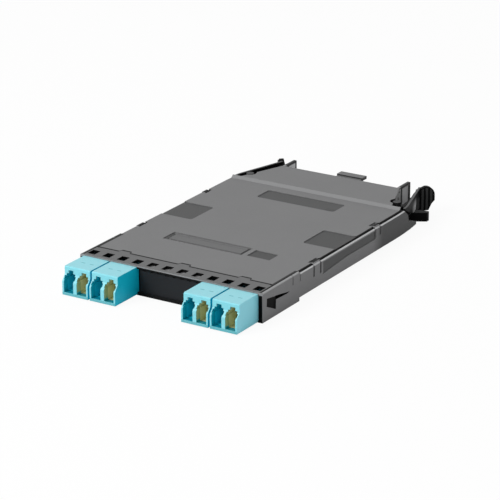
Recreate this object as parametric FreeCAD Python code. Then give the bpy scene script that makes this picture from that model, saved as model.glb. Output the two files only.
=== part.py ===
"""Thin fibre cassette: four duplex port adapters in front, one multi-fibre port behind, two squeeze latches.

The body is laid out from the front face of its port strip (Y = 0), with X across and Z up from the
underside. On export everything moves forward by half the body's length, so that the origin lies in the
middle of the underside.
"""
import FreeCAD, Part
import math
import os

V = FreeCAD.Vector

# Body, in millimetres
body_width = 86.0
body_height = 12.4
body_length = 135.0
wall_thickness = 1.7
wall_end = 7.0
wall_bend_length = 21.0
wall_bend_inset = 1.5
wall_drop = 0.9
floor_thickness = 1.2
edge_bevel = 0.35
front_block_length = 28.0
rail_height = 1.5
rail_width = 2.2
rail_shelf_width = 1.2

# Port strip across the front
strip_length = 10.2
strip_thickness = 1.2
window_count = 12
window_pitch = 7.1
window_width = 3.6
window_length = 4.4
window_centre = 4.1
seam_tongue_width = 5.6
seam_tongue_length = 1.6
seam_tongue_x = 28.4
seam_slope = 0.6
seam_end_notch = 1.4
post_width = 2.0
post_setback = 0.3

# Snap tongues in each side wall: width, lower end of the slits, depth of the notch in the cover's edge
snap_front = (5.6, 8.3, 0.0)
snap_middle = (5.2, 6.5, 1.5)
snap_rear = (4.2, 7.7, 2.0)
snap_front_y = 25.8
snap_middle_y = 42.0
snap_rear_back = 36.4
slit_width = 0.6
snap_bead = 0.7
snap_top_drop = 0.15

# Finger hole near the front of each side wall, the slot behind it, and the panel between the tongues
side_hole_corners = [(3.1, 5.9), (10.0, 2.7), (10.3, 8.2), (3.3, 9.2)]
side_slot_corners = [(9.8, 6.7), (18.4, 6.3), (20.7, 6.6), (9.8, 8.4)]
panel_depth = 0.35
panel_margin = 1.9
panel_slope_length = 18.6
panel_front_bottom = 5.4
panel_bottom = 6.8
panel_top_rim = 0.6

# Rear cut of the side walls, which opens the lever's pocket: forward of the wall's end, and height
cut_steps = [(13.1, 11.6), (9.4, 8.6), (8.4, 5.4), (0.2, 2.7)]

# Cover
cover_thickness = 1.3
cover_gap = 0.15
cover_inset = 1.1
cover_rise = 1.1
raised_length = 23.0
ramp_length = 1.5
taper_inset_front = 5.0
taper_inset_rear = 13.7
skirt_drop = 2.0
skirt_thickness = 1.0
notch_margin = 1.2
ledge_width = 1.0
ledge_height = 1.5

# Shallow smooth fields in the cover
field_depth = 0.3
field_corner = 1.5
side_field_reach = 16.1
side_field_start = 47.1
side_field_length = 17.8
rear_field_width = 38.0
rear_field_length = 10.5
rear_field_gap = 5.4
frame_field_start = 22.0
frame_field_length = 8.5
frame_field_left = 24.4
frame_field_right = 13.1
frame_line_inset = 0.6
frame_line_width = 0.6
small_field_gap = 2.4
small_field_width = 10.7
small_field_length = 7.4

# Duplex adapters
adapter_width = 12.3
adapter_gap = 0.9
adapter_top = 11.9
adapter_bottom = 0.3
adapter_lip_reach = 15.5
adapter_brow_reach = 13.5
adapter_lip_top = 6.0
adapter_brow_bottom = 8.6
adapter_corner = 0.4
adapter_flange_length = 4.2
adapter_tail_length = 11.0
adapter_tail_height = 9.5
adapter_seat_floor = 0.6
adapter_strip_gap = 0.05
latch_window_half = 1.6
port_pitch = 6.25
port_floor = 1.4
well_half = 2.3
wing_half = 2.6
throat_half = 2.05
slot_half = 1.15
well_height = 5.3
wing_height = 6.7
throat_height = 7.6
slot_height = 8.95
bezel_thickness = 0.9
midwall_front = 4.4
midwall_rear = 0.4

# Blank over the unused bays
blank_gap = 1.0
blank_wall = 1.2
blank_setback = 0.8
blank_notches = 8
blank_notch_width = 1.8
blank_notch_depth = 0.8
blank_rib_x = 5.0

# Sleeve holders, split sleeves and the plugs behind them
round_sides = 8
liner_wall = 0.25
holder_back = 0.8
ferrule_diameter = 1.25
ferrule_gap = 0.02
sleeve_wall = 0.2
sleeve_length = 6.8
sleeve_slit = 0.3
holder_bore_gap = 0.05
holder_tube_wall = 0.5
holder_tube_reach = 8.0
plug_width = 4.4
plug_body_length = 15.0
plug_boot_length = 7.0
plug_boot_diameter = 3.2
plug_front_bevel = 0.4
plug_latch_gap = 0.15
plug_latch_length = 12.0
plug_latch_rise = 2.9

# Fibre routing inside
leg_diameter = 0.9
leg_straight = 18.0
leg_pitch = 1.4
leg_gap = 0.4
guide_gap = 1.0
guide_thickness = 1.2
guide_height = 4.8
fanout_length = 17.0
fanout_width = 13.0
fanout_height = 7.4
fanout_shoulder = 5.0
fanout_outlet = 7.0
fanout_rail = 1.0
trunk_diameter = 3.0
trunk_length = 4.0

# Multi-fibre adapter and its inner plug
mpo_width = 12.8
mpo_top = 10.9
mpo_bottom = 1.7
mpo_inner_length = 14.0
mpo_reach = 8.6
mpo_hood_length = 3.9
mpo_hood_height = 1.3
mpo_hood_rise = 0.6
mpo_port_width = 9.9
mpo_port_height = 6.7
mpo_key_width = 2.8
mpo_key_height = 0.8
mpo_collar = 2.0
mpo_corner = 0.6
mpo_plug_gap = 0.15
mpo_grip_length = 3.6
mpo_grip_wall = 0.8
mpo_boot_reach = 6.0
mpo_boot_length = 2.2
mpo_ferrule_width = 6.4
mpo_ferrule_height = 2.5
mpo_ferrule_length = 8.0
mpo_ferrule_gap = 0.1
guide_pin_diameter = 0.7
guide_pin_pitch = 4.6

# Latch levers: the pivot from the side and the end of the wall, all else from the pivot
pivot_inset = 6.4
pivot_back = 8.5
pivot_radius = 1.7
pivot_gap = 0.05
pivot_top_drop = 0.2
eye_radius = 2.65
eye_height = 11.6
notch_radius = 2.95
lever_floor_gap = 0.3
lever_top = 10.3
arm_thickness = 1.6
arm_steps = [(1.6, 0.4), (0.65, 6.4), (0.05, 10.9), (-0.95, 16.5), (-2.1, 20.3), (-2.3, 23.7)]
neck_start = 20.2
neck_end = 23.7
neck_top = 11.2
barb_steps = [(-1.2, 10.9), (6.4, 15.4), (6.4, 17.2), (4.9, 17.2), (-1.4, 15.9)]
barb_bottom = 0.75
barb_top = 4.9
pad_step = (-0.9, 25.5)
pad_height = 7.1
pad_thickness = 1.8
pad_turn = 49.4
pad_round = 4.1
pad_left = 3.2
pad_right = 5.0
pad_half_height = 5.4
pad_ribs = 3
pad_rib_start = -0.9
pad_rib_pitch = 2.0
pad_rib_width = 1.05
pad_rib_height = 0.55
pad_rim = 0.45

# Pocket for each lever, and the ears behind the body
pocket_gap = 0.55
pocket_front_gap = 1.45
pocket_wall = 1.2
ear_length = 10.0
ear_thickness = 1.2
ear_bottom = 2.0
ear_rim = 1.1
ear_panel_depth = 0.4

# Measures that follow from the ones above
half_width = body_width / 2
wall_length = body_length - wall_end
wall_bend_start = wall_length - wall_bend_length
wall_rear_half = half_width - wall_bend_inset
wall_top = body_height - wall_drop
rail_half = half_width - rail_width
ramp_start = body_length - raised_length
ramp_end = ramp_start + ramp_length
taper_start_half = half_width - taper_inset_front
taper_end_half = half_width - taper_inset_rear
cover_half = half_width - cover_inset
cover_under = body_height - cover_thickness
strip_under = body_height - strip_thickness
rear_top = body_height + cover_rise
rear_under = rear_top - cover_thickness
inner_half = half_width - wall_thickness
pair_outer = half_width - post_width
pair_inner = pair_outer - 2 * adapter_width - adapter_gap
bend_radius = (wall_bend_inset ** 2 + wall_bend_length ** 2) / (2 * wall_bend_inset)
snap_tongues = [(snap_front_y, snap_front), (snap_middle_y, snap_middle), (wall_length - snap_rear_back, snap_rear)]
ferrule_height = port_floor + well_half
sleeve_bore = ferrule_diameter + ferrule_gap
sleeve_outer = sleeve_bore + 2 * sleeve_wall
holder_bore = sleeve_outer + 2 * holder_bore_gap
holder_outer = holder_bore + 2 * holder_tube_wall
midwall_centre = (midwall_front + midwall_rear) / 2
mpo_front = body_length - mpo_inner_length
mpo_axis = (mpo_top + mpo_bottom) / 2
mpo_middle = (mpo_front + body_length + mpo_reach) / 2
mpo_stop = mpo_middle - mpo_collar / 2 - 0.2
fanout_front = mpo_front - mpo_boot_reach - trunk_length - fanout_length
pivot_x = half_width - pivot_inset
pivot_y = wall_length - pivot_back
lever_bottom = rail_height + floor_thickness + lever_floor_gap
arm_points = [(pivot_x + dx, pivot_y + dy) for dx, dy in arm_steps]
pad_centre = (pivot_x + pad_step[0], pivot_y + pad_step[1], pad_height)
pocket_inner_half = pivot_x - eye_radius - pocket_gap
pocket_front = pivot_y - eye_radius - pocket_front_gap
datum_y = body_length / 2


# Building blocks

def block(x0, x1, y0, y1, z0, z1):
    return Part.makeBox(x1 - x0, y1 - y0, z1 - z0, V(x0, y0, z0))


def rounded_edges(points, radii, place):
    """Edges of a closed outline; each corner is rounded by its radius, or stays sharp with radius 0."""
    corners = [V(u, v, 0) for u, v in points]
    spans = []
    for i, corner in enumerate(corners):
        radius = radii[i] if isinstance(radii, list) else radii
        to_last = (corners[i - 1] - corner).normalize()
        to_next = (corners[(i + 1) % len(corners)] - corner).normalize()
        if radius <= 0:
            spans.append((corner, None, corner))
            continue
        half_angle = to_last.getAngle(to_next) / 2
        reach = radius / math.tan(half_angle)
        bisector = (to_last + to_next).normalize()
        middle = corner + bisector * (radius / math.sin(half_angle) - radius)
        spans.append((corner + to_last * reach, middle, corner + to_next * reach))
    edges = []
    for i, (start, middle, end) in enumerate(spans):
        last_end = spans[i - 1][2]
        if (start - last_end).Length > 1e-6:
            edges.append(Part.makeLine(place(last_end), place(start)))
        if middle is not None:
            edges.append(Part.Arc(place(start), place(middle), place(end)).toShape())
    return edges


def prism_up(points, z0, z1, radii=0):
    """A plan outline in X and Y, raised from z0 to z1."""
    edges = rounded_edges(points, radii, lambda p: V(p.x, p.y, z0))
    return Part.Face(Part.Wire(Part.__sortEdges__(edges))).extrude(V(0, 0, z1 - z0))


def prism_across(points, x0, x1, radii=0):
    """A side outline in Y and Z, drawn out from x0 to x1."""
    edges = rounded_edges(points, radii, lambda p: V(x0, p.x, p.y))
    return Part.Face(Part.Wire(Part.__sortEdges__(edges))).extrude(V(x1 - x0, 0, 0))


def prism_back(points, y0, y1, radii=0):
    """A front outline in X and Z, drawn back from y0 to y1."""
    edges = rounded_edges(points, radii, lambda p: V(p.x, y0, p.y))
    return Part.Face(Part.Wire(Part.__sortEdges__(edges))).extrude(V(0, y1 - y0, 0))


def rectangle(x0, x1, y0, y1):
    return [(x0, y0), (x1, y0), (x1, y1), (x0, y1)]


def offset_line(points, distance):
    """A polyline moved sideways, with mitred corners; a positive distance moves it to its left."""
    line = [V(x, y, 0) for x, y in points]
    moved = []
    for i, point in enumerate(line):
        ahead = (line[min(i + 1, len(line) - 1)] - line[min(i, len(line) - 2)]).normalize()
        behind = (line[max(i, 1)] - line[max(i - 1, 0)]).normalize()
        normal = V(-ahead.y - behind.y, ahead.x + behind.x, 0).normalize()
        stretch = normal.dot(V(-ahead.y, ahead.x, 0))
        shifted = point + normal * (distance / stretch)
        moved.append((shifted.x, shifted.y))
    return moved


def ribbon(points, left, right, z0, z1, radii=0):
    """A standing wall along a polyline, between two sideways distances from it."""
    outline = offset_line(points, left) + offset_line(points, right)[::-1]
    return prism_up(outline, z0, z1, radii)


def tube_along(points, diameter):
    """A slim six-sided tube at one height, along straight runs that are joined by tangent arcs."""
    route = [V(*point) for point in points]
    half = diameter / 2
    low = half * math.sqrt(3) / 2
    ring = [(half, 0), (half / 2, low), (-half / 2, low), (-half, 0), (-half / 2, -low), (half / 2, -low)]

    def section(place, heading):
        across = V(heading.y, -heading.x, 0)
        edges = rounded_edges(ring, 0, lambda p: place + across * p.x + V(0, 0, p.y))
        return Part.Face(Part.Wire(edges))

    pieces = []
    last = route[0]
    for before, corner, after in zip(route, route[1:], route[2:]):
        back = (before - corner).normalize()
        onward = (after - corner).normalize()
        half_angle = back.getAngle(onward) / 2
        reach = 0.45 * min((before - corner).Length, (after - corner).Length)
        bend = corner + back * reach
        centre = corner + (back + onward).normalize() * (reach / math.cos(half_angle))
        turn = 180 - 2 * math.degrees(half_angle)
        way = 1 if back.cross(onward).z < 0 else -1
        pieces.append(section(last, -back).extrude(bend - last))
        pieces.append(section(bend, -back).revolve(centre, V(0, 0, way), turn))
        last = corner + onward * reach
    pieces.append(section(last, onward).extrude(route[-1] - last))
    return joined(pieces[0], pieces[1:])


def ring_points(x, z, radius):
    """Corners of a regular outline about a point, for small hidden rounds."""
    turns = [2 * math.pi * (i + 0.5) / round_sides for i in range(round_sides)]
    return [(x + radius * math.sin(turn), z + radius * math.cos(turn)) for turn in turns]


def small_bar(x, z, radius, y0, y1):
    """A slim bar along Y with a many-sided section that stands for a round one."""
    return prism_back(ring_points(x, z, radius), y0, y1)


def small_taper(x, z, radius0, radius1, y0, y1):
    """A slim square boot along Y, from one half-width to another."""
    def outline(middle):
        return [(middle - radius0, y0), (middle + radius0, y0), (middle + radius1, y1), (middle - radius1, y1)]

    reach = max(radius0, radius1)
    plan = prism_up(outline(x), z - reach, z + reach)
    side = [(y, height) for height, y in outline(z)]
    return plan.common(prism_across(side, x - reach, x + reach))


def mirrored(shape):
    return shape.mirror(V(0, 0, 0), V(1, 0, 0))


def both_sides(shape):
    return [shape, mirrored(shape)]


def joined(first, others):
    return first.fuse(others).removeSplitter()


# Plan curves of the body

def wall_x(y, inset):
    """Half-width of the body at y, measured to a face inset from its outside."""
    if y <= wall_bend_start:
        return half_width - inset
    centre = half_width - bend_radius
    return centre + math.sqrt((bend_radius - inset) ** 2 - (y - wall_bend_start) ** 2)


def taper_x(y):
    """Half-width of the narrowing rear part of the cover at y."""
    share = (y - ramp_start) / (body_length - ramp_start)
    return taper_start_half + (taper_end_half - taper_start_half) * share


def taper_y(x):
    """The y at which the narrowing part of the cover has the half-width x."""
    share = (x - taper_start_half) / (taper_end_half - taper_start_half)
    return ramp_start + share * (body_length - ramp_start)


def bent_side(inset):
    """The side line and its inward bend, from front to rear, at an inset from the outside."""
    start = V(wall_x(0, inset), 0, 0)
    bend = V(wall_x(wall_bend_start, inset), wall_bend_start, 0)
    middle_y = (wall_bend_start + wall_length) / 2
    middle = V(wall_x(middle_y, inset), middle_y, 0)
    end = V(wall_x(wall_length, inset), wall_length, 0)
    return [Part.makeLine(start, bend), Part.Arc(bend, middle, end).toShape()], start, end


def side_band(inset, width, z0, z1):
    """A wall that follows the right side of the body between two insets."""
    outer, outer_start, outer_end = bent_side(inset)
    inner, inner_start, inner_end = bent_side(inset + width)
    caps = [Part.makeLine(outer_end, inner_end), Part.makeLine(inner_start, outer_start)]
    wire = Part.Wire(Part.__sortEdges__(outer + inner + caps))
    band = Part.Face(wire).extrude(V(0, 0, z1 - z0))
    band.translate(V(0, 0, z0))
    return band


# Base housing

def floor_plate():
    """Floor: full width at the front, narrower over the rails, then narrowing with the cover."""
    right = [(half_width, 0), (half_width, front_block_length), (rail_half, front_block_length),
             (rail_half, wall_bend_start), (wall_rear_half - rail_width, wall_length),
             (taper_x(wall_length), wall_length), (taper_end_half, body_length)]
    return prism_up(right + [(-x, y) for x, y in right[::-1]], 0, floor_thickness)


def rail_shelf():
    """Raised edge of the floor that carries the side wall over the tray's rail."""
    inner = rail_width + rail_shelf_width
    start = front_block_length - rail_shelf_width
    outer = wall_thickness - 0.5
    plan = [(half_width - outer, start), (half_width - outer, wall_bend_start), (wall_rear_half - outer, wall_length),
            (wall_rear_half - inner, wall_length), (half_width - inner, wall_bend_start), (half_width - inner, start)]
    return prism_up(plan, 0, rail_height + floor_thickness)


def rail_clearance():
    """The space of the tray's rail, straight in each run below the bent wall."""
    plan = [(rail_half, front_block_length), (rail_half, wall_bend_start), (wall_rear_half - rail_width, wall_length),
            (wall_rear_half - rail_width, wall_length + 1), (half_width + 1, wall_length + 1),
            (half_width + 1, front_block_length)]
    return prism_up(plan, -1, rail_height)


def side_wall():
    """Right side wall with a bevel along its outer top edge, and the higher block at its front."""
    wall = side_band(0, wall_thickness, 0, wall_top)
    top_edges = []
    for edge in wall.Edges:
        middle = edge.valueAt((edge.FirstParameter + edge.LastParameter) / 2)
        if edge.BoundBox.ZMin > wall_top - 1e-3 and middle.x > wall_x(middle.y, edge_bevel):
            if edge.BoundBox.YLength > wall_thickness:
                top_edges.append(edge)
    wall = wall.makeChamfer(edge_bevel, top_edges)
    front = [(inner_half, 0), (half_width, 0), (half_width, body_height - edge_bevel),
             (half_width - edge_bevel, body_height), (inner_half, body_height)]
    return joined(wall, [prism_back(front, 0, front_block_length)])


def cover_seat():
    """Space that the edge of the cover takes on top of the side wall."""
    seat = side_band(cover_inset - cover_gap, wall_thickness, cover_under, rear_top)
    behind = block(0, half_width + 1, ramp_end + cover_gap, wall_length + 1, 0, rear_top + 1)
    return seat.cut([block(0, half_width + 1, -1, strip_length, 0, rear_top + 1), behind])


def rear_cut():
    """Sloping cut of the wall's rear end, which lets the lever be seen and squeezed."""
    line = [(wall_length - back, z) for back, z in cut_steps]
    line = [(line[0][0], body_height)] + line + [(wall_length + 1, cut_steps[-1][1]), (wall_length + 1, body_height)]
    return prism_across(line, taper_start_half, half_width + 1)


def snap_cuts():
    """Pairs of slits that free the snap tongues of the right side wall."""
    cuts = []
    for centre, (width, low, depth) in snap_tongues:
        for y in (centre - width / 2, centre + width / 2):
            cuts.append(block(inner_half - ledge_width - 0.5, half_width + 1, y - slit_width / 2,
                              y + slit_width / 2, low, body_height + 1))
    return cuts


def snap_heads():
    """Tops of the snap tongues, with the beads that hold the cover down in its notches."""
    heads = []
    top = body_height - snap_top_drop
    lip = body_height - cover_thickness / 2
    for centre, (width, low, depth) in snap_tongues[1:]:
        side = [(inner_half, cover_under - 1), (half_width - edge_bevel, cover_under - 1),
                (half_width - edge_bevel, top), (inner_half, top), (inner_half - snap_bead, lip + 0.2),
                (inner_half, lip + 0.05)]
        heads.append(prism_back(side, centre - (width - slit_width) / 2, centre + (width - slit_width) / 2))
    return heads


def side_hole():
    """Slanting finger hole near the front of the right wall, with the narrow slot behind it."""
    hole = prism_across(side_hole_corners, inner_half - 1, half_width + 1)
    slot = prism_across(side_slot_corners, inner_half - 1, half_width + 1)
    return [hole, slot]


def side_panel():
    """Shallow panel in the outer face between the two rear snap tongues."""
    y0 = snap_middle_y + snap_middle[0] / 2 + panel_margin
    y1 = wall_length - snap_rear_back - panel_margin
    top = wall_top - edge_bevel - panel_top_rim
    side = [(y0, panel_front_bottom), (y0 + panel_slope_length, panel_bottom), (y1, panel_bottom), (y1, top),
            (y0, top)]
    return prism_across(side, half_width - panel_depth, half_width + 1)


def strip_windows():
    cuts = []
    for i in range(window_count):
        x = (i - (window_count - 1) / 2) * window_pitch
        cuts.append(block(x - window_width / 2, x + window_width / 2,
                          window_centre - window_length / 2, window_centre + window_length / 2,
                          strip_under - 1, body_height + 1))
    return cuts


def seam_outline(x, grow):
    """Plan of one tongue of the port strip, or of its notch in the cover when grown by the gap."""
    half = seam_tongue_width / 2 + grow
    end = strip_length + seam_tongue_length + grow
    return [(x - half, strip_length - 1), (x + half, strip_length - 1), (x + half - seam_slope, end),
            (x - half + seam_slope, end)]


def strip():
    """Port strip with three tongues that key into the cover."""
    half = half_width - edge_bevel
    plate = block(-half, half, 0, strip_length, strip_under, body_height)
    tongues = [prism_up(seam_outline(x, 0), strip_under, body_height)
               for x in (-seam_tongue_x, 0, seam_tongue_x)]
    corner = cover_half - seam_end_notch
    notch = block(corner, cover_half, strip_length - seam_end_notch / 2, strip_length + 1, strip_under - 1,
                  body_height + 1)
    return joined(plate, tongues).cut(both_sides(notch))


def pocket_line():
    """Centre line of the wall between the lever's pocket and the fibre space, right side."""
    mid = pocket_wall / 2
    return [(wall_x(pocket_front, wall_thickness) + 0.3, pocket_front - mid),
            (pocket_inner_half - mid, pocket_front - mid), (pocket_inner_half - mid, taper_y(pocket_inner_half)),
            (taper_end_half - mid, body_length - pocket_wall / 3)]


def pocket_walls():
    """Inner pocket wall: up to the raised cover, lower outside of it and under its skirt."""
    wall = ribbon(pocket_line(), pocket_wall / 2, -pocket_wall / 2, 0, rear_under)
    under_skirt = block(0, half_width, taper_y(pocket_inner_half) - cover_gap, body_length + 1,
                        rear_under - skirt_drop, rear_top)
    outside = block(taper_x(pocket_front) - 1, half_width, pocket_front - 2 * pocket_wall, pocket_front + 1,
                    cover_under, rear_top)
    return wall.cut([under_skirt, outside])


def rear_wall():
    half_port = mpo_width / 2 + cover_gap
    half = taper_end_half - 0.2
    wall = block(-half, half, body_length - pocket_wall, body_length, 0, rear_under)
    port = block(-half_port, half_port, body_length - 5, body_length + 5, mpo_bottom, mpo_top + cover_gap)
    y0 = mpo_front + 3
    side_rails = []
    for x in (half_port, -half_port - pocket_wall):
        side_rails.append(block(x, x + pocket_wall, y0, body_length - 0.1, 0, mpo_axis + 2))
    sill = block(-half_port, half_port, y0, body_length, 0, mpo_bottom)
    return joined(wall.cut(port), side_rails + [sill])


def ear():
    """Thin upright ear that carries the side line on behind the body, with a sunk outer face."""
    y0 = body_length - 0.5
    y1 = body_length + ear_length
    y2 = body_length + cover_gap
    x1 = taper_end_half
    sides = [(y0, ear_bottom), (y1 - 1.6, ear_bottom), (y1, ear_bottom + 2.4), (y1, rear_top), (y2, rear_top),
             (y2, rear_under - 1), (y0, rear_under - 1)]
    panel = [(y2 + ear_rim, ear_bottom + ear_rim), (y1 - 1.6 - ear_rim / 2, ear_bottom + ear_rim),
             (y1 - ear_rim, ear_bottom + 2.4 + ear_rim / 2), (y1 - ear_rim, rear_top - ear_rim),
             (y2 + ear_rim, rear_top - ear_rim)]
    plate = prism_across(sides, x1 - ear_thickness, x1, [0, 0, 0, 0.5, 0, 0, 0])
    return plate.cut(prism_across(panel, x1 - ear_panel_depth, x1 + 1))


def front_posts():
    """Front posts and the thin webs that part the adapters."""
    side = 0.05
    post = block(pair_outer + side, half_width - edge_bevel, post_setback, strip_length, 0.1, body_height - 0.1)
    web_x = pair_outer - adapter_width - adapter_gap / 2
    half_web = adapter_gap / 2 - 0.1
    web = block(web_x - half_web, web_x + half_web, blank_wall, strip_length, 0.1, strip_under + 0.1)
    inner_web = block(pair_inner - blank_gap + 0.1, pair_inner - 0.1, blank_wall, strip_length, 0.1,
                      strip_under + 0.1)
    return both_sides(post) + both_sides(web) + both_sides(inner_web)


def cover_ledge():
    """Ledge inside the side wall that carries the edge of the cover."""
    x0 = inner_half - ledge_width
    side = [(x0, cover_under), (inner_half + 0.2, cover_under), (inner_half + 0.2, cover_under - ledge_height - 1),
            (x0, cover_under - ledge_height + ledge_width / 2)]
    return prism_back(side, adapter_tail_length + cover_gap, ramp_start)


def pivot_post():
    return Part.makeCylinder(pivot_radius, rear_top - pivot_top_drop - floor_thickness + 0.1,
                             V(pivot_x, pivot_y, floor_thickness - 0.1))


def adapter_seats():
    """Shallow seats in the floor that take the tails of each pair of adapters."""
    seat = block(pair_inner - 0.1, pair_outer + 0.05, -1, adapter_tail_length + 0.1,
                 adapter_seat_floor, floor_thickness + 0.1)
    return both_sides(seat)


def fibre_guides():
    """Guides on the floor: one beside each outermost leg, and two rails that hold the fan-out block."""
    route = leg_route(port_positions()[-1] + port_pitch / 2, 2 * len(port_positions()) - 1)
    start, end = [V(*point) for point in route[1:3]]
    line = [start + (end - start) * share for share in (0.4, 0.65)]
    z0 = floor_thickness - 0.1
    guide = ribbon([(point.x, point.y) for point in line], -guide_gap, -guide_gap - guide_thickness,
                   z0, floor_thickness + guide_height)
    x0 = fanout_width / 2 + 0.1
    rail = block(x0, x0 + fanout_rail, fanout_front + 2, fanout_front + fanout_length - fanout_shoulder,
                 z0, floor_thickness + guide_height)
    return both_sides(guide) + both_sides(rail)


def base_housing():
    wall = side_wall().cut([cover_seat(), rear_cut()])
    wall = joined(wall, snap_heads()).cut(snap_cuts() + side_hole() + [side_panel()])
    ledge = cover_ledge().cut(snap_cuts())
    shelf = rail_shelf().cut(rear_cut())
    right = [wall, ledge, shelf, pocket_walls(), ear(), pivot_post()]
    parts = right + [mirrored(shape) for shape in right]
    parts += [rear_wall(), strip()] + front_posts() + fibre_guides()
    body = joined(floor_plate(), parts)
    cuts = both_sides(rail_clearance()) + strip_windows() + adapter_seats()
    return body.cut(cuts).removeSplitter()


# Cover

def cover_plan():
    """Plan outline of the cover, which lies on the inner part of the side walls."""
    right = [(cover_half, strip_length + cover_gap), (cover_half, wall_bend_start),
             (wall_x(ramp_end, cover_inset), ramp_end), (taper_x(ramp_end), ramp_end),
             (taper_end_half, body_length)]
    return right + [(-x, y) for x, y in right[::-1]]


def cover_side():
    """Side outline: flat plate, short ramp, raised plate."""
    return [(strip_length, cover_under), (ramp_start, cover_under), (ramp_end, rear_under),
            (body_length, rear_under), (body_length, rear_top), (ramp_end, rear_top), (ramp_start, body_height),
            (strip_length, body_height)]


def seam_notches():
    return [prism_up(seam_outline(x, cover_gap), cover_under - 1, body_height + 1)
            for x in (-seam_tongue_x, 0, seam_tongue_x)]


def edge_notches():
    """Notches in both edges of the cover, each with a thin lip below for the snap bead."""
    cuts = []
    lip = body_height - cover_thickness / 2
    for centre, (width, low, depth) in snap_tongues[1:]:
        half = (width + notch_margin) / 2
        notch = block(cover_half - depth, half_width + 1, centre - half, centre + half, lip, rear_top + 1)
        passage = block(inner_half - cover_gap, half_width + 1, centre - half, centre + half, 0, rear_top + 1)
        cuts += both_sides(notch) + both_sides(passage)
    return cuts


def pivot_notches():
    """Round notches in the raised edge, which leave the lever's post free."""
    notch = Part.makeCylinder(notch_radius, rear_top, V(pivot_x, pivot_y, cover_under - 1))
    return both_sides(notch)


def marking_fields():
    """Shallow smooth fields in the textured top; the framed one keeps its raised rim line."""
    z0 = body_height - field_depth
    z1 = body_height + 1
    side_y = strip_length + side_field_start
    side = prism_up(rectangle(half_width - side_field_reach, half_width + 1, side_y, side_y + side_field_length),
                    z0, z1, [field_corner, 0, 0, field_corner])
    rear_y = ramp_start - rear_field_gap
    rear = prism_up(rectangle(-rear_field_width / 2, rear_field_width / 2, rear_y - rear_field_length, rear_y),
                    z0, z1, field_corner)
    frame_y = strip_length + frame_field_start
    rings = []
    for inset in (0, frame_line_inset, frame_line_inset + frame_line_width):
        rings.append(prism_up(rectangle(-frame_field_left + inset, frame_field_right - inset, frame_y + inset,
                                        frame_y + frame_field_length - inset), z0, z1))
    frame = rings[0].cut(rings[1].cut(rings[2]))
    small_x = frame_field_right + small_field_gap
    small_y = frame_y + (frame_field_length - small_field_length) / 2
    small = prism_up(rectangle(small_x, small_x + small_field_width, small_y, small_y + small_field_length),
                     z0, z1)
    return both_sides(side) + [rear, small, frame]


def cover_skirts():
    """Skirts under the narrowing edges of the raised part, standing on the pocket walls."""
    line = [(taper_x(ramp_end), ramp_end), (taper_end_half, body_length)]
    skirt = ribbon(line, skirt_thickness, 0, rear_under - skirt_drop, rear_under + 0.1)
    return both_sides(skirt.common(block(0, half_width, taper_y(pocket_inner_half), body_length - pocket_wall,
                                         0, rear_top)))


def top_cover():
    plate = prism_across(cover_side(), -cover_half, cover_half)
    plate = plate.common(prism_up(cover_plan(), cover_under - 1, rear_top + 1))
    body = joined(plate, cover_skirts())
    return body.cut(seam_notches() + edge_notches() + pivot_notches() + marking_fields())


# Blank over the unused bays

def port_blank():
    half = pair_inner - blank_gap
    z0 = floor_thickness
    z1 = strip_under - 0.1
    y0 = blank_setback
    rear = strip_length - 0.6
    shell = block(-half, half, y0, rear, z0, z1)
    hollow = block(-half + blank_wall, half - blank_wall, y0 + blank_wall, rear + 1, z0 + blank_wall, z1 - blank_wall)
    ribs = [block(x - 0.5, x + 0.5, y0 + 1, rear - blank_wall, z0 + 1, z1 - 1)
            for x in (-blank_rib_x, blank_rib_x)]
    notches = []
    for i in range(blank_notches):
        x = (i - (blank_notches - 1) / 2) * window_pitch / 2
        notches.append(block(x - blank_notch_width / 2, x + blank_notch_width / 2, 0, y0 + 0.5,
                             z1 - blank_notch_depth, z1 + 1))
    return joined(shell.cut(hollow), ribs).cut(notches)


# Duplex adapters and what sits in them

def keyhole(x, grow):
    """Front outline of one port: a square well, two wings and the slot for the plug's latch."""
    right = [(well_half, 0), (well_half, well_height), (wing_half, well_height),
             (wing_half, wing_height), (throat_half, wing_height), (throat_half, throat_height),
             (slot_half, throat_height), (slot_half, slot_height)]
    rise = [-grow, -grow, -grow, grow, grow, grow, grow, grow]
    points = [(half + grow, z + port_floor + dz) for (half, z), dz in zip(right, rise)]
    return [(x + u, z) for u, z in points] + [(x - u, z) for u, z in points[::-1]]


def adapter_side():
    """Side outline of the shell: lower lip, slanted face, set-back brow, flange and lower tail."""
    tail_top = adapter_seat_floor + adapter_tail_height
    under = strip_under - adapter_strip_gap
    return [(-adapter_lip_reach, adapter_bottom), (-0.1, adapter_bottom), (-0.1, adapter_seat_floor),
            (adapter_tail_length, adapter_seat_floor), (adapter_tail_length, tail_top),
            (adapter_flange_length, tail_top), (adapter_flange_length, under), (-0.1, under), (-0.1, adapter_top),
            (-adapter_brow_reach + adapter_corner, adapter_top),
            (-adapter_brow_reach, adapter_top - adapter_corner), (-adapter_brow_reach, adapter_brow_bottom),
            (-adapter_lip_reach, adapter_lip_top)]


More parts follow.
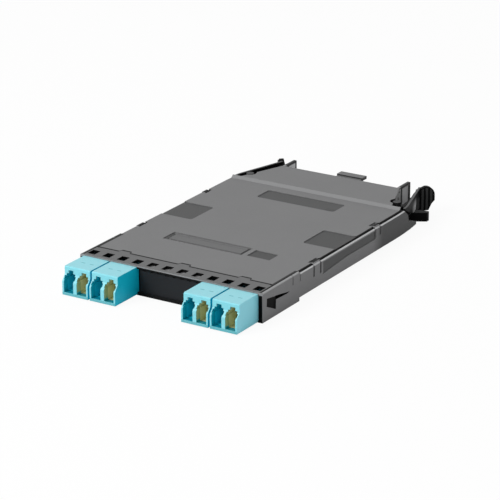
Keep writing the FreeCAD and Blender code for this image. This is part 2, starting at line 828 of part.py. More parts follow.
def lc_adapter(x):
    """Shell with two keyholed ports in front, an inner port behind each, and a wall between them."""
    half = adapter_width / 2
    shell = prism_across(adapter_side(), x - half, x + half)
    cuts = []
    for port_x in (x - port_pitch / 2, x + port_pitch / 2):
        cuts.append(prism_back(keyhole(port_x, 0), -adapter_lip_reach - 1, -midwall_front))
        cuts.append(prism_back(keyhole(port_x, liner_wall), -adapter_brow_reach + bezel_thickness,
                               -midwall_front))
        cuts.append(prism_back(rectangle(port_x - well_half, port_x + well_half, port_floor,
                                         port_floor + throat_height), -midwall_rear, adapter_tail_length + 1))
        cuts.append(block(port_x - latch_window_half, port_x + latch_window_half, adapter_flange_length + 0.4,
                          adapter_tail_length + 1, ferrule_height, body_height))
        cuts.append(small_bar(port_x, ferrule_height, holder_outer / 2 + holder_bore_gap, -midwall_front - 1,
                              -midwall_rear + 1))
    return shell.cut(cuts).removeSplitter()


def sleeve_holder(x):
    """Coloured liner of one port, with the tube that holds the split sleeve."""
    y0 = -adapter_brow_reach + bezel_thickness
    y1 = -midwall_front
    liner = prism_back(keyhole(x, liner_wall), y0, y1)
    liner = liner.cut(prism_back(keyhole(x, 0), y0 - 1, y1 - holder_back))
    tube = small_bar(x, ferrule_height, holder_outer / 2, -holder_tube_reach, -midwall_rear - 0.2)
    bore = small_bar(x, ferrule_height, holder_bore / 2, -holder_tube_reach - 1, 1)
    return liner.fuse(tube).removeSplitter().cut(bore)


def split_sleeve(x):
    y0 = -midwall_centre - sleeve_length / 2 - 1.0
    y1 = y0 + sleeve_length
    tube = small_bar(x, ferrule_height, sleeve_outer / 2, y0, y1)
    bore = small_bar(x, ferrule_height, sleeve_bore / 2, y0 - 1, y1 + 1)
    slit = block(x - sleeve_slit / 2, x + sleeve_slit / 2, y0 - 1, y1 + 1, ferrule_height,
                 ferrule_height + sleeve_outer)
    return tube.cut([bore, slit])


def lc_plug(x):
    """Inner plug: square body with its latch, ferrule in front and a tapered boot behind."""
    half = plug_width / 2
    bevel = plug_front_bevel
    y0 = 0.4 - midwall_rear
    y1 = y0 + plug_body_length
    z = ferrule_height
    side = [(y0, z - half + bevel), (y0 + bevel, z - half), (y1, z - half), (y1, z + half), (y0 + bevel, z + half),
            (y0, z + half - bevel)]
    body = prism_across(side, x - half, x + half)
    latch_top = z + half + plug_latch_rise
    y2 = y0 + plug_latch_length
    arm = prism_across([(y0 + 1.0, z + half - 0.2), (y2, latch_top - 0.7), (y2, latch_top),
                        (y0 + 1.0, z + half + 0.8)], x - slot_half + plug_latch_gap, x + slot_half - plug_latch_gap)
    ferrule = small_bar(x, z, ferrule_diameter / 2, -midwall_centre - 0.9, y0 + 0.1)
    boot = small_taper(x, z, plug_boot_diameter / 2, leg_diameter / 2 + 0.4, y1, y1 + plug_boot_length)
    return joined(body, [arm, ferrule, boot])


def port_positions():
    places = []
    for side in (-1, 1):
        for row in (0, 1):
            offset = pair_outer - adapter_width / 2 - row * (adapter_width + adapter_gap)
            places.append(side * offset)
    return sorted(places)


# Fibre legs, fan-out and the multi-fibre port

def leg_route(x, slot):
    """Way of one leg from a plug's boot to its place in the fan-out block."""
    y0 = plug_body_length + plug_boot_length + leg_gap - midwall_rear
    end_x = (slot - (2 * len(port_positions()) - 1) / 2) * leg_pitch
    bend_a = y0 + leg_straight
    bend_b = fanout_front - leg_straight * 0.8
    z = ferrule_height
    return [(x, y0, z), (x, bend_a, z), (end_x, bend_b, z), (end_x, fanout_front, z)]


def fibre_leg(x, slot):
    return tube_along(leg_route(x, slot), leg_diameter)


def fan_out_block():
    """Block that parts the trunk into single legs, with slanted shoulders behind."""
    half = fanout_width / 2
    y0 = fanout_front
    y1 = fanout_front + fanout_length
    plan = [(-half, y0), (half, y0), (half, y1 - fanout_shoulder), (fanout_outlet / 2, y1),
            (-fanout_outlet / 2, y1), (-half, y1 - fanout_shoulder)]
    return prism_up(plan, floor_thickness, floor_thickness + fanout_height)


def mpo_shell():
    """Multi-fibre adapter: keyed ports at both ends, a collar between them and a flat hood behind."""
    half = mpo_width / 2
    y1 = body_length + mpo_reach
    body = prism_back(rectangle(-half, half, mpo_bottom, mpo_top), mpo_front, y1, mpo_corner)
    port_half = mpo_port_width / 2
    z0 = mpo_axis - mpo_port_height / 2
    z1 = mpo_axis + mpo_port_height / 2
    key_half = mpo_key_width / 2
    port = [(-port_half, z0), (port_half, z0), (port_half, z1), (key_half, z1),
            (key_half, z1 + mpo_key_height), (-key_half, z1 + mpo_key_height), (-key_half, z1),
            (-port_half, z1)]
    rear_port = prism_back(port, mpo_middle + mpo_collar / 2, y1 + 1)
    front_port = prism_back(port, mpo_front - 1, mpo_middle - mpo_collar / 2)
    window = prism_back(ferrule_outline(3 * mpo_ferrule_gap), mpo_front, y1)
    z2 = mpo_top + mpo_hood_rise
    hood = block(-half, half, y1 - 0.4, y1 + mpo_hood_length - 0.4, z2 - mpo_hood_height, z2)
    return joined(body.cut([rear_port, front_port, window]), [hood])


def ferrule_outline(grow):
    half = mpo_ferrule_width / 2 + grow
    high = mpo_ferrule_height / 2 + grow
    return rectangle(-half, half, mpo_axis - high, mpo_axis + high)


def mpo_plug():
    """Inner multi-fibre plug with a shouldered housing and a short boot."""
    half = mpo_port_width / 2 - mpo_plug_gap
    high = mpo_port_height / 2 - mpo_plug_gap
    y0 = mpo_front - mpo_grip_length
    shaft = prism_back(rectangle(-half, half, mpo_axis - high, mpo_axis + high), y0, mpo_stop)
    grip_half = half + mpo_grip_wall
    grip_high = high + mpo_grip_wall / 2
    grip = prism_back(rectangle(-grip_half, grip_half, mpo_axis - grip_high, mpo_axis + grip_high), y0,
                      mpo_front - 0.4)
    boot = small_taper(0, mpo_axis, trunk_diameter / 2 + 0.5, trunk_diameter / 2 + 1.3, mpo_front - mpo_boot_reach, y0)
    hollow = prism_back(ferrule_outline(mpo_ferrule_gap), mpo_stop - mpo_ferrule_length + 2, mpo_stop + 1)
    return joined(shaft, [grip, boot]).cut(hollow)


def mpo_ferrule():
    """Rectangular ferrule with its two guide pins."""
    y1 = mpo_middle + 0.5
    body = prism_back(ferrule_outline(0), mpo_stop - mpo_ferrule_length + 2, y1)
    pins = [small_bar(x, mpo_axis, guide_pin_diameter / 2, y1 - 0.5, y1 + 2.5)
            for x in (-guide_pin_pitch / 2, guide_pin_pitch / 2)]
    return joined(body, pins)


def trunk_cable():
    start = V(0, fanout_front + fanout_length, mpo_axis)
    return Part.makeCylinder(trunk_diameter / 2, trunk_length, start, V(0, 1, 0))


# Latch levers

def pad_frame(shape):
    """Turns a shape that was drawn about the origin into the thumb pad's place."""
    shape.rotate(V(0, 0, 0), V(0, 0, 1), -(90 - pad_turn))
    shape.translate(V(*pad_centre))
    return shape


def pad_outline(inset):
    """Outline of the pad: slanted towards the arm, round at its free upper corner, narrower below."""
    left = -pad_left + inset
    right = pad_right - inset
    low = -pad_half_height + inset
    high = pad_half_height - inset
    reach = pad_round - inset + 0.35
    return [(left, low), (right - 2.8, low), (right - 1.4, low + 2.9), (right, low + 4.3), (right, high),
            (right - reach, high), (left, high - 1.5)]


def thumb_pad():
    """Pad with upright ribs on the face that the thumb presses."""
    radii = [0, 0, 0, 0, pad_round, 0, 0]
    back = -pad_thickness / 2
    plate = prism_across(pad_outline(0), back, -back, radii)
    ribs = []
    for i in range(pad_ribs):
        y = pad_rib_start + i * pad_rib_pitch
        ribs.append(block(0, -back + pad_rib_height, y - pad_rib_width / 2, y + pad_rib_width / 2,
                          -pad_half_height, pad_half_height))
    radii[4] -= pad_rim
    limit = prism_across(pad_outline(pad_rim), 0, -back + pad_rib_height, radii)
    return pad_frame(joined(plate, [rib.common(limit) for rib in ribs]))


def lever_arm():
    """Arm along the pocket, which rises into a neck behind the pad."""
    arm = ribbon(arm_points, arm_thickness / 2, -arm_thickness / 2, lever_bottom, neck_top)
    front = pivot_y - eye_radius
    end = arm_points[-1][1] + 1
    side = [(front, lever_bottom), (end, lever_bottom), (end, neck_top), (pivot_y + neck_end, neck_top),
            (pivot_y + neck_start, lever_top), (front, lever_top)]
    return arm.common(prism_across(side, 0, half_width))


def barb():
    """Outward catch with a slanted leading face, which holds behind the tray's rail end."""
    points = [(pivot_x + dx, pivot_y + dy) for dx, dy in barb_steps]
    return prism_up(points, barb_bottom, barb_top)


def latch_lever():
    """Right lever: eye on its post, arm along the pocket, catch and thumb pad."""
    eye = Part.makeCylinder(eye_radius, eye_height - lever_bottom, V(pivot_x, pivot_y, lever_bottom))
    lever = joined(lever_arm(), [eye, barb(), thumb_pad()])
    bore = Part.makeCylinder(pivot_radius + pivot_gap, rear_top, V(pivot_x, pivot_y, 0))
    return lever.cut(bore)


# All pieces

def all_pieces():
    pieces = {"base_housing": base_housing(), "top_cover": top_cover(), "port_blank": port_blank()}
    port = 0
    for number, x in enumerate(port_positions(), 1):
        pieces["lc_adapter_%d" % number] = lc_adapter(x)
        for port_x in (x - port_pitch / 2, x + port_pitch / 2):
            port += 1
            pieces["sleeve_holder_%d" % port] = sleeve_holder(port_x)
            pieces["split_sleeve_%d" % port] = split_sleeve(port_x)
            pieces["lc_plug_%d" % port] = lc_plug(port_x)
            pieces["fibre_leg_%d" % port] = fibre_leg(port_x, port - 1)
    pieces["fan_out_block"] = fan_out_block()
    pieces["trunk_cable"] = trunk_cable()
    pieces["mpo_adapter"] = mpo_shell()
    pieces["mpo_plug"] = mpo_plug()
    pieces["mpo_ferrule"] = mpo_ferrule()
    lever = latch_lever()
    pieces["latch_lever_right"] = lever
    pieces["latch_lever_left"] = mirrored(lever)
    return pieces


os.makedirs("parts", exist_ok=True)
for name, shape in all_pieces().items():
    shape.translate(V(0, -datum_y, 0))
    shape.exportStep("parts/%s.step" % name)
    box = shape.BoundBox
    print("%-20s solids %d valid %s volume %9.2f  x %.2f..%.2f  y %.2f..%.2f  z %.2f..%.2f" % (
        name, len(shape.Solids), shape.isValid(), shape.Volume, box.XMin, box.XMax,
        box.YMin, box.YMax, box.ZMin, box.ZMax))
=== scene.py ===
# %% [markdown]
# # A thin fibre cassette, dressed for a product photograph
# The solids of the cassette come in as a fixed frame: a shallow grey plastic body, a cover, aqua ports and two
# squeeze latches. This lesson gives every piece the moulded finish of the real one, adds two thin plates that the
# solids lack, and sets up the pale studio that the photograph was taken in.

# %% Load the frame
import math

import bmesh
import bpy
from mathutils import Matrix, Vector


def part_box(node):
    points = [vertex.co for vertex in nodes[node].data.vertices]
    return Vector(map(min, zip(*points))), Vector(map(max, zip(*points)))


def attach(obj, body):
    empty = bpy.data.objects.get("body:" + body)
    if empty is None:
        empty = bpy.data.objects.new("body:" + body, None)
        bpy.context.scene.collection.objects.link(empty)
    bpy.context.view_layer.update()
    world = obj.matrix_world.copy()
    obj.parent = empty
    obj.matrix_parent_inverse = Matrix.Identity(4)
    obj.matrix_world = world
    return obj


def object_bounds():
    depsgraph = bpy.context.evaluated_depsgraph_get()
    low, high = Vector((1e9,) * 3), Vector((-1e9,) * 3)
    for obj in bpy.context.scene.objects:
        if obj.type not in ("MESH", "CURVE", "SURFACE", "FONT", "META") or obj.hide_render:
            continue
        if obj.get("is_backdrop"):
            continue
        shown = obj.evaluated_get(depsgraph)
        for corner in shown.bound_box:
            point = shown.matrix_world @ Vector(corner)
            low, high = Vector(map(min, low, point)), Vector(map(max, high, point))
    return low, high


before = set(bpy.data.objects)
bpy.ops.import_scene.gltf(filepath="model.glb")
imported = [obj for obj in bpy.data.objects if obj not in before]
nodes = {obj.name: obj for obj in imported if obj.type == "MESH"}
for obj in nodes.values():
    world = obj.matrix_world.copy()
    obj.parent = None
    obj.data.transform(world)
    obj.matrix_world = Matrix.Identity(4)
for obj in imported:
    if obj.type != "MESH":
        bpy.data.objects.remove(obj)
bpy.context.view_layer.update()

# %% [markdown]
# ## Measures
# The front face of the port strip is the plane from which everything on the real cassette is measured. Masks and
# added pieces count from it in millimetres, so that they line up with the solids. The face of the blank between
# the ports lies a little behind it.

# %% Measures of the body
MM = 0.001
BLANK_BEHIND = 0.8 * MM
FRONT_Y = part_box("port_blank")[0].y - BLANK_BEHIND
print("front of the strip at y =", round(FRONT_Y * 1000, 2), "mm")

# %% [markdown]
# ## Camera
# The camera was matched to the photograph by its straight edges: a long lens about a metre away, turned 32
# degrees to the right of the ports and 20 degrees up. A camera can also be placed by eye, but a matched one lets
# each region be compared with the photograph point for point.

# %% Camera
AZIMUTH, ELEVATION, ROLL = math.radians(31.86), math.radians(20.3), math.radians(-0.18)
TARGET = Vector((0.0, -0.0245, 0.01075))
SLIDE_X, SLIDE_Y, DISTANCE = -0.0090945, 0.0020855, 1.03825
LENS, SENSOR_WIDTH, NEAREST = 183.44, 36.0, 0.01

back = Vector((math.sin(AZIMUTH) * math.cos(ELEVATION), -math.cos(AZIMUTH) * math.cos(ELEVATION),
               math.sin(ELEVATION)))
side = Vector((math.cos(AZIMUTH), math.sin(AZIMUTH), 0.0))
over = back.cross(side)
right = side * math.cos(ROLL) + over * math.sin(ROLL)
up = over * math.cos(ROLL) - side * math.sin(ROLL)

camera_data = bpy.data.cameras.new("camera")
camera_data.lens = LENS
camera_data.sensor_width = SENSOR_WIDTH
camera_data.clip_start = NEAREST
camera = bpy.data.objects.new("camera", camera_data)
place = TARGET - right * SLIDE_X - up * SLIDE_Y + back * DISTANCE
camera.matrix_world = Matrix.Translation(place) @ Matrix((right, up, back)).transposed().to_4x4()
scene = bpy.context.scene
scene.collection.objects.link(camera)
scene.camera = camera
print("camera at", [round(v, 3) for v in place])

# %% [markdown]
# ## Studio
# The photograph has a pure white ground and soft light. The floor is a large pale sheet that keeps a faint
# shadow, and the surroundings show white to the camera and to glossy reflections, while they give the plastic
# only a plain level of light.

# %% Floor
FLOOR_HALF, FLOOR_DROP = 3.0, 0.0003
FLOOR_TONE, FLOOR_GLOW = 0.86, 0.93
scene.view_settings.view_transform = "Standard"


def new_material(name):
    material = bpy.data.materials.new(name)
    material.use_nodes = True
    tree = material.node_tree
    return material, tree, tree.nodes["Principled BSDF"]


floor_mesh = bpy.data.meshes.new("studio_floor")
sheet = bmesh.new()
bmesh.ops.create_grid(sheet, x_segments=1, y_segments=1, size=FLOOR_HALF)
bmesh.ops.translate(sheet, vec=(0, 0, -FLOOR_DROP), verts=sheet.verts)
sheet.to_mesh(floor_mesh)
sheet.free()
floor = bpy.data.objects.new("studio_floor", floor_mesh)
scene.collection.objects.link(floor)

floor_material, tree, shader = new_material("pale_floor")
shader.inputs["Base Color"].default_value = (FLOOR_TONE, FLOOR_TONE, FLOOR_TONE, 1)
shader.inputs["Roughness"].default_value = 0.9
shader.inputs["Specular IOR Level"].default_value = 0.1
glow = tree.nodes.new("ShaderNodeEmission")
seen = tree.nodes.new("ShaderNodeLightPath")
part_seen = tree.nodes.new("ShaderNodeMath")
part_seen.operation = "MULTIPLY"
part_seen.inputs[1].default_value = FLOOR_GLOW
mix = tree.nodes.new("ShaderNodeMixShader")
tree.links.new(seen.outputs["Is Camera Ray"], part_seen.inputs[0])
tree.links.new(part_seen.outputs[0], mix.inputs["Fac"])
tree.links.new(shader.outputs[0], mix.inputs[1])
tree.links.new(glow.outputs[0], mix.inputs[2])
tree.links.new(mix.outputs[0], tree.nodes["Material Output"].inputs["Surface"])
floor_mesh.materials.append(floor_material)
floor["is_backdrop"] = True

# %% Surroundings
AMBIENT = 0.42
world = bpy.data.worlds.new("studio")
scene.world = world
world.use_nodes = True
tree = world.node_tree
ground = tree.nodes["Background"]
ground.inputs["Color"].default_value = (AMBIENT, AMBIENT, AMBIENT, 1)
white = tree.nodes.new("ShaderNodeBackground")
white.inputs["Color"].default_value = (1, 1, 1, 1)
seen = tree.nodes.new("ShaderNodeLightPath")
either = tree.nodes.new("ShaderNodeMath")
either.operation = "MAXIMUM"
mix = tree.nodes.new("ShaderNodeMixShader")
tree.links.new(seen.outputs["Is Camera Ray"], either.inputs[0])
tree.links.new(seen.outputs["Is Glossy Ray"], either.inputs[1])
tree.links.new(either.outputs[0], mix.inputs["Fac"])
tree.links.new(ground.outputs[0], mix.inputs[1])
tree.links.new(white.outputs[0], mix.inputs[2])
tree.links.new(mix.outputs[0], tree.nodes["World Output"].inputs["Surface"])

# %% Lamps


def softbox(name, place, aim, size, power):
    """A square area lamp at a place, turned to what it lights."""
    data = bpy.data.lights.new(name, "AREA")
    data.size = size
    data.energy = power
    lamp = bpy.data.objects.new(name, data)
    direction = Vector(aim) - Vector(place)
    lamp.rotation_euler = direction.to_track_quat("-Z", "Y").to_euler()
    lamp.location = place
    scene.collection.objects.link(lamp)


softbox("key_front_left", place=(-0.5, -1.0, 0.85), aim=(0, -0.02, 0), size=0.6, power=15.0)
softbox("top_sheet", place=(0.0, 0.25, 1.1), aim=(0, 0, 0), size=0.9, power=2.0)
print("lamps set")

# %% [markdown]
# ## Shared effects
# Moulded plastic has a fine etched grain, and its edges are a little rounded, which bends their normals; the edges
# also carry a painted highlight. Each effect is a node group that all the materials share. The groups put out
# values and normals only, so that each material keeps its own shader.

# %% Group: etched grain
GRAIN_SCALE, CLOUD_SCALE = 2200.0, 60.0
FINE_SHARE, BROAD_SHARE = 0.7, 0.3


def new_group(name, inputs, outputs):
    """A node group; inputs are labels with values, outputs are labels, of which Normal is a vector."""
    group = bpy.data.node_groups.new(name, "ShaderNodeTree")
    for label, value in inputs:
        socket = group.interface.new_socket(label, in_out="INPUT", socket_type="NodeSocketFloat")
        socket.default_value = value
    for label in outputs:
        kind = "NodeSocketVector" if label == "Normal" else "NodeSocketFloat"
        group.interface.new_socket(label, in_out="OUTPUT", socket_type=kind)
    start = group.nodes.new("NodeGroupInput")
    end = group.nodes.new("NodeGroupOutput")
    return group, start, end


def math_node(tree, operation, first, second=None, third=None, clamp=False):
    """The output of a math node; each value is a number or a socket."""
    node = tree.nodes.new("ShaderNodeMath")
    node.operation = operation
    node.use_clamp = clamp
    for socket, value in zip(node.inputs, (first, second, third)):
        if value is None:
            continue
        if isinstance(value, (int, float)):
            socket.default_value = value
        else:
            tree.links.new(value, socket)
    return node.outputs[0]


grain, start, end = new_group("etched_grain", [("Scale", GRAIN_SCALE)], ["Height", "Tone"])
where = grain.nodes.new("ShaderNodeTexCoord")
pits = grain.nodes.new("ShaderNodeTexNoise")
pits.inputs["Detail"].default_value = 3.0
pits.inputs["Roughness"].default_value = 0.62
grain.links.new(where.outputs["Object"], pits.inputs["Vector"])
grain.links.new(start.outputs["Scale"], pits.inputs["Scale"])
clouds = grain.nodes.new("ShaderNodeTexNoise")
clouds.inputs["Scale"].default_value = CLOUD_SCALE
clouds.inputs["Detail"].default_value = 2.0
grain.links.new(where.outputs["Object"], clouds.inputs["Vector"])
fine = math_node(grain, "MULTIPLY_ADD", pits.outputs["Fac"], FINE_SHARE, -FINE_SHARE / 2)
broad = math_node(grain, "MULTIPLY_ADD", clouds.outputs["Fac"], BROAD_SHARE, -BROAD_SHARE / 2)
tone = math_node(grain, "ADD", fine, broad)
grain.links.new(pits.outputs["Fac"], end.inputs["Height"])
grain.links.new(tone, end.inputs["Tone"])

# %% Group: rounded edges
edges, start, end = new_group("rounded_edges_and_highlight", [("Radius", 0.2 * MM), ("Gain", 4.0)], ["Normal", "Edge"])
rounding = edges.nodes.new("ShaderNodeBevel")
rounding.samples = 6
edges.links.new(start.outputs["Radius"], rounding.inputs["Radius"])
flat = edges.nodes.new("ShaderNodeNewGeometry")
agree = edges.nodes.new("ShaderNodeVectorMath")
agree.operation = "DOT_PRODUCT"
edges.links.new(rounding.outputs["Normal"], agree.inputs[0])
edges.links.new(flat.outputs["Normal"], agree.inputs[1])
turned = math_node(edges, "SUBTRACT", 1.0, agree.outputs["Value"])
# Edge marks where the rounding turns the normal; the recipe paints a highlight there.
edge = math_node(edges, "MULTIPLY", turned, start.outputs["Gain"], clamp=True)
edges.links.new(rounding.outputs["Normal"], end.inputs["Normal"])
edges.links.new(edge, end.inputs["Edge"])
print("node groups:", [g.name for g in bpy.data.node_groups])

# %% [markdown]
# ## Moulded plastics
# One recipe serves all the moulded pieces: a base colour that the grain makes a little uneven, edges painted a
# shade lighter as a painted highlight, a bump from the same grain and a plain gloss. Painting each piece by hand
# would give the same look, but the recipe stays true on every side and needs no unwrapping.

# %% Recipe for a moulded plastic
TONE_SPREAD = 0.25
PIT_DEPTH = 0.05 * MM


def scaled(colour, factor):
    return tuple(min(1.0, c * factor) for c in colour) + (1.0,)


def blend_colours(tree, fac, first, second):
    """A colour mix; each side is a colour or a socket."""
    node = tree.nodes.new("ShaderNodeMix")
    node.data_type = "RGBA"
    for socket, value in ((node.inputs["Factor"], fac), (node.inputs["A"], first), (node.inputs["B"], second)):
        if isinstance(value, (tuple, int, float)):
            socket.default_value = value
        else:
            tree.links.new(value, socket)
    return node.outputs["Result"]


def moulded(name, colour, roughness, specular=0.5, grain_scale=GRAIN_SCALE, grain_bump=0.15, edge_light=1.5,
            unevenness=0.25):
    material, tree, shader = new_material(name)
    texture = tree.nodes.new("ShaderNodeGroup")
    texture.node_tree = grain
    texture.inputs["Scale"].default_value = grain_scale
    rim = tree.nodes.new("ShaderNodeGroup")
    rim.node_tree = edges
    amount = math_node(tree, "MULTIPLY_ADD", texture.outputs["Tone"], unevenness * 2, 0.5)
    body = blend_colours(tree, amount, scaled(colour, 1 - TONE_SPREAD), scaled(colour, 1 + TONE_SPREAD))
    # Painted highlight: the edges are painted lighter by edge_light.
    final = blend_colours(tree, rim.outputs["Edge"], body, scaled(colour, edge_light))
    bump = tree.nodes.new("ShaderNodeBump")
    bump.inputs["Strength"].default_value = grain_bump
    bump.inputs["Distance"].default_value = PIT_DEPTH
    tree.links.new(texture.outputs["Height"], bump.inputs["Height"])
    tree.links.new(rim.outputs["Normal"], bump.inputs["Normal"])
    tree.links.new(bump.outputs["Normal"], shader.inputs["Normal"])
    tree.links.new(final, shader.inputs["Base Color"])
    shader.inputs["Roughness"].default_value = roughness
    shader.inputs["Specular IOR Level"].default_value = specular
    return material, tree, shader, final


def dress(material, *names):
    """Puts a material on every slot of the named pieces."""
    for name in names:
        data = nodes[name].data
        data.materials.clear()
        data.materials.append(material)


def numbered(stem, numbers):
    return ["%s_%d" % (stem, number) for number in numbers]

# %% [markdown]
# ## Where a point lies on the cassette
# Many finishes of the cassette change by place: a recess carries painted shade, a rim a painted highlight, a smooth
# field lies in a textured top. Painting them on an image would need unwrapping. A node group that gives each
# point's place in millimetres, from the front of the port strip, does it with plain numbers and stays put in every
# view. The side walls bend inwards near the rear, so the group also gives the distance along the straightened wall.

# %% Group: place on the body
REAR_BEND, BEND_SPREAD = 107.0, 295.5

place_group, _, end = new_group("place_on_body", [], ["Across", "Side", "Back", "Up", "Rim"])
where = place_group.nodes.new("ShaderNodeTexCoord")
axes = place_group.nodes.new("ShaderNodeSeparateXYZ")
place_group.links.new(where.outputs["Object"], axes.inputs[0])
across = math_node(place_group, "MULTIPLY", axes.outputs["X"], 1000.0)
aside = math_node(place_group, "ABSOLUTE", across)
behind = math_node(place_group, "MULTIPLY_ADD", axes.outputs["Y"], 1000.0, -FRONT_Y * 1000.0)
height = math_node(place_group, "MULTIPLY", axes.outputs["Z"], 1000.0)
past = math_node(place_group, "MAXIMUM", math_node(place_group, "SUBTRACT", behind, REAR_BEND), 0.0)
drawn_in = math_node(place_group, "DIVIDE", math_node(place_group, "MULTIPLY", past, past), BEND_SPREAD)
rim_side = math_node(place_group, "ADD", aside, drawn_in)
for label, value in (("Across", across), ("Side", aside), ("Back", behind), ("Up", height), ("Rim", rim_side)):
    place_group.links.new(value, end.inputs[label])
print("walls bend inwards behind", REAR_BEND, "mm")

# %% [markdown]
# A mask that is 1 between two values and fades over a short way outside them is the brush that all the finishes
# share. Two or three of them multiplied give a box on the object. A second group does the same for the way a face
# looks, so that a finish can be kept to tops, sides or fronts.

# %% Groups: band and facing
GREY_TINT = 0.02

band_group, start, end = new_group("band", [("Value", 0.0), ("Low", 0.0), ("High", 1.0), ("Fade", 0.05)], ["Mask"])
over_low = math_node(band_group, "SUBTRACT", start.outputs["Value"], start.outputs["Low"])
under_high = math_node(band_group, "SUBTRACT", start.outputs["High"], start.outputs["Value"])
inside = math_node(band_group, "MINIMUM", over_low, under_high)
share = math_node(band_group, "DIVIDE", inside, start.outputs["Fade"])
mask = math_node(band_group, "ADD", share, 1.0, clamp=True)
band_group.links.new(mask, end.inputs["Mask"])

facing_group, _, end = new_group("facing", [], ["Side", "Front", "Up"])
looks = facing_group.nodes.new("ShaderNodeNewGeometry")
axes = facing_group.nodes.new("ShaderNodeSeparateXYZ")
facing_group.links.new(looks.outputs["True Normal"], axes.inputs[0])
facing_group.links.new(math_node(facing_group, "ABSOLUTE", axes.outputs["X"]), end.inputs["Side"])
facing_group.links.new(math_node(facing_group, "MULTIPLY", axes.outputs["Y"], -1.0), end.inputs["Front"])
facing_group.links.new(axes.outputs["Z"], end.inputs["Up"])


def placed(tree, group):
    """A group's outputs in a material or in another group."""
    node = tree.nodes.new("ShaderNodeGroup")
    node.node_tree = group
    return node.outputs


def band(tree, value, low, high, fade=0.05):
    """A mask that is 1 where a value lies between low and high."""
    node = tree.nodes.new("ShaderNodeGroup")
    node.node_tree = band_group
    tree.links.new(value, node.inputs["Value"])
    node.inputs["Low"].default_value = low
    node.inputs["High"].default_value = high
    node.inputs["Fade"].default_value = fade
    return node.outputs["Mask"]


def box(tree, spot, *masks, **ranges):
    """Masks multiplied with a band for each named measure, as in back=(low, high) or back=(low, high, fade)."""
    factors = list(masks) + [band(tree, spot[label.capitalize()], *limits) for label, limits in ranges.items()]
    result = factors[0]
    for factor in factors[1:]:
        result = math_node(tree, "MULTIPLY", result, factor)
    return result


def grey(level):
    """A grey with a slight blue tint."""
    return (level, level * (1 + GREY_TINT / 2), level * (1 + GREY_TINT), 1.0)


def painted(tree, shader, colour, layers):
    """Lays colours over a colour, each through its mask; a single number is a grey."""
    for mask, layer in layers:
        colour = blend_colours(tree, mask, colour, grey(layer) if isinstance(layer, float) else layer)
    tree.links.new(colour, shader.inputs["Base Color"])


print("groups:", [g.name for g in bpy.data.node_groups])

# %% [markdown]
# ## The seam in the top
# The port strip keys into the cover with three small tongues, and the joint shows as a fine dark line. The gap in
# the solids is too fine to catch shade on its own, so both plastics carry a painted shade line close to it: the
# distance to the stepped line is worked out once in a group.

# %% Group: seam
SEAM_Y, SEAM_HALF, SEAM_FADE = 10.27, 0.45, 0.08
TONGUE_X, TONGUE_HALF, TONGUE_REACH, TONGUE_SLOPE = 28.4, 2.8, 1.6, 0.6

seam_group, _, end = new_group("seam", [], ["Line"])
spot = placed(seam_group, place_group)
from_outer = math_node(seam_group, "ABSOLUTE", math_node(seam_group, "SUBTRACT", spot["Side"], TONGUE_X))
nearest = math_node(seam_group, "MINIMUM", from_outer, spot["Side"])
in_tongue = math_node(seam_group, "DIVIDE", math_node(seam_group, "SUBTRACT", TONGUE_HALF, nearest), TONGUE_SLOPE,
                      clamp=True)
line_y = math_node(seam_group, "MULTIPLY_ADD", in_tongue, TONGUE_REACH, SEAM_Y)
off_line = math_node(seam_group, "ABSOLUTE", math_node(seam_group, "SUBTRACT", spot["Back"], line_y))
seam_group.links.new(band(seam_group, off_line, -1.0, SEAM_HALF, SEAM_FADE), end.inputs["Line"])
print("seam at", SEAM_Y, "mm, tongues reach", TONGUE_REACH, "mm further")

# %% [markdown]
# ## Body
# The tray body is a dark grey moulding. Its outer wall has a slightly darker panel between the snap tongues, and
# the wall's top edge and the front rim carry a painted highlight. The top of the strip is a darker grey than its
# sides, and the sides towards the rear are darker too, both as painted shade. The joint beside the cover, the slits
# beside each snap tongue, the step on its top, the finger holes, the windows in the strip, the frame and sill round
# the blank and the pivots of the latches are painted in shade. The front face of the thin post beside the outer
# port is painted near black. Behind, the edge of each ear is dark, while its root and its sunk face carry a painted
# highlight. The masks' numbers are millimetres: "back" from the front of the strip, "side" from the middle, "rim"
# the same along the straightened wall, and "up" from the underside.

# %% Body finish
SNAP_SLITS = [(42.0, 2.6, 6.5), (91.6, 2.1, 7.7)]
PIVOT = {"side": (33.0, 40.0), "back": (116.0, 123.0)}
RIM_FADE = 0.06

body_grey, tree, shader, plastic = moulded("body_grey", (0.235, 0.235, 0.239), 0.55, specular=0.06,
                                           grain_bump=0.2, edge_light=1.35)
spot, look = placed(tree, place_group), placed(tree, facing_group)
sideways = band(tree, look["Side"], 0.7, 1.1)
upwards = band(tree, look["Up"], 0.9, 1.1)
frontways = band(tree, look["Front"], 0.7, 1.1)
steep = band(tree, look["Up"], -1.1, 0.5)
# Painted shade: the top of the port strip is a darker grey than its sides.
strip_top_shade = box(tree, spot, upwards, up=(12.3, 12.5))
panel = box(tree, spot, sideways, rim=(42.0, 42.8), back=(40.0, 92.0), up=(4.5, 11.3))
rear_shade = box(tree, spot, sideways, back=(96.0, 129.0, 8.0))
